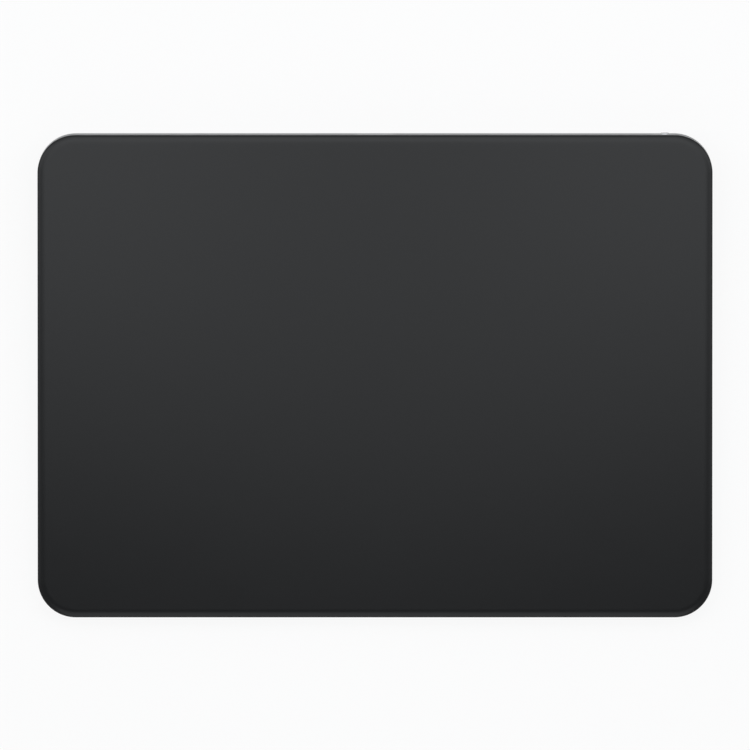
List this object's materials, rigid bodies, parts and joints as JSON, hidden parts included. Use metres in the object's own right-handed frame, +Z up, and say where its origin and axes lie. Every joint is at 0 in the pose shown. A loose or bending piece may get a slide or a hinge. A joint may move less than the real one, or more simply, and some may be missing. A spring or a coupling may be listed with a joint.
{
  "type": "trackpad",
  "caption": "Wedge-shaped desk trackpad: black glass plate floating on force legs in a silver metal enclosure, with haptic engine, rear charge port and sliding power switch.",
  "frame": {"origin": "middle of the outline on the desk, at the level of the feet", "axes": "+X to the user's right, +Y to the rear (high) edge, +Z up"},
  "size_m": [0.16, 0.1149, 0.0108],
  "materials": {
    "anodised_aluminium": "bead blasted and anodised silver",
    "cover_metal": "fine satin",
    "foot_silicone": "matt dark grey",
    "black_glass": "etched matt, dark backing",
    "sensor_laminate": "dark solder mask",
    "stiffener_aluminium": "rolled sheet",
    "soft_iron": "stamped",
    "gel": "translucent gel",
    "polyimide_flex": "satin film",
    "spring_steel": "rolled",
    "gauge_film": "thin film",
    "screw_steel": "nickel plated",
    "bracket_steel": "stamped stainless",
    "copper_winding": "enamelled wire",
    "pouch_foil": "satin laminate",
    "adhesive": "foam and film",
    "circuit_board": "solder mask",
    "tin_shield": "tin plated",
    "connector_plastic": "moulded",
    "port_steel": "drawn stainless",
    "black_plastic": "moulded",
    "gold_contact": "gold plated",
    "copper_trace": "etched",
    "indicator_green": "printed"
  },
  "bodies": {
    "base": {"enclosure": "anodised_aluminium", "bottom_cover": "cover_metal", "foot_front_left": "foot_silicone", "foot_front_right": "foot_silicone", "foot_rear_left": "foot_silicone", "foot_rear_right": "foot_silicone", "haptic_core": "soft_iron", "force_sensor_flex": "polyimide_flex", "haptic_flex": "polyimide_flex", "battery_lead": "polyimide_flex", "switch_flex": "polyimide_flex", "leg_screws": "screw_steel", "haptic_screws": "screw_steel", "board_screws": "screw_steel", "port_screws": "screw_steel", "switch_screws": "screw_steel", "haptic_bracket": "bracket_steel", "port_bracket": "bracket_steel", "haptic_coil_left": "copper_winding", "haptic_coil_right": "copper_winding", "battery_cell": "pouch_foil", "cover_adhesive": "adhesive", "battery_tape": "adhesive", "logic_board": "circuit_board", "battery_board": "circuit_board", "switch_board": "circuit_board", "processor_shield": "tin_shield", "radio_shield": "tin_shield", "switch_body": "tin_shield", "board_connectors": "connector_plastic", "antenna_carrier": "connector_plastic", "charge_port_shell": "port_steel", "charge_port_tongue": "black_plastic", "switch_shutter": "black_plastic", "antenna_cable": "black_plastic", "charge_port_contacts": "gold_contact", "antenna_trace": "copper_trace", "indicator_patch": "indicator_green"},
    "force_legs": {"force_leg_front_left": "spring_steel", "force_leg_front_right": "spring_steel", "force_leg_rear_left": "spring_steel", "force_leg_rear_right": "spring_steel", "strain_gauges": "gauge_film"},
    "touch_plate": {"cover_glass": "black_glass", "sensor_board": "sensor_laminate", "stiffener_plate": "stiffener_aluminium", "attraction_plates": "soft_iron", "gel_pads": "gel", "sensor_flex": "polyimide_flex"},
    "power_knob": {"power_knob": "anodised_aluminium", "switch_slider": "black_plastic"}
  },
  "joints": [
    {"name": "surface_press", "type": "slide", "parent": "base", "child": "force_legs", "axis": [0, 0.0524, -0.9986], "range_m": [0, 0.00025], "stiffness_N_per_m": 10000, "springref_m": -0.0002, "deforming": ["force_leg_front_left", "force_leg_front_right", "force_leg_rear_left", "force_leg_rear_right", "sensor_flex"]},
    {"name": "haptic_shift", "type": "slide", "parent": "force_legs", "child": "touch_plate", "axis": [1, 0, 0], "range_m": [-0.00015, 0.00015], "stiffness_N_per_m": 12000, "deforming": ["gel_pads"]},
    {"name": "power_slide", "type": "slide", "parent": "base", "child": "power_knob", "axis": [-1, 0, 0], "range_m": [0, 0.002]}
  ]
}
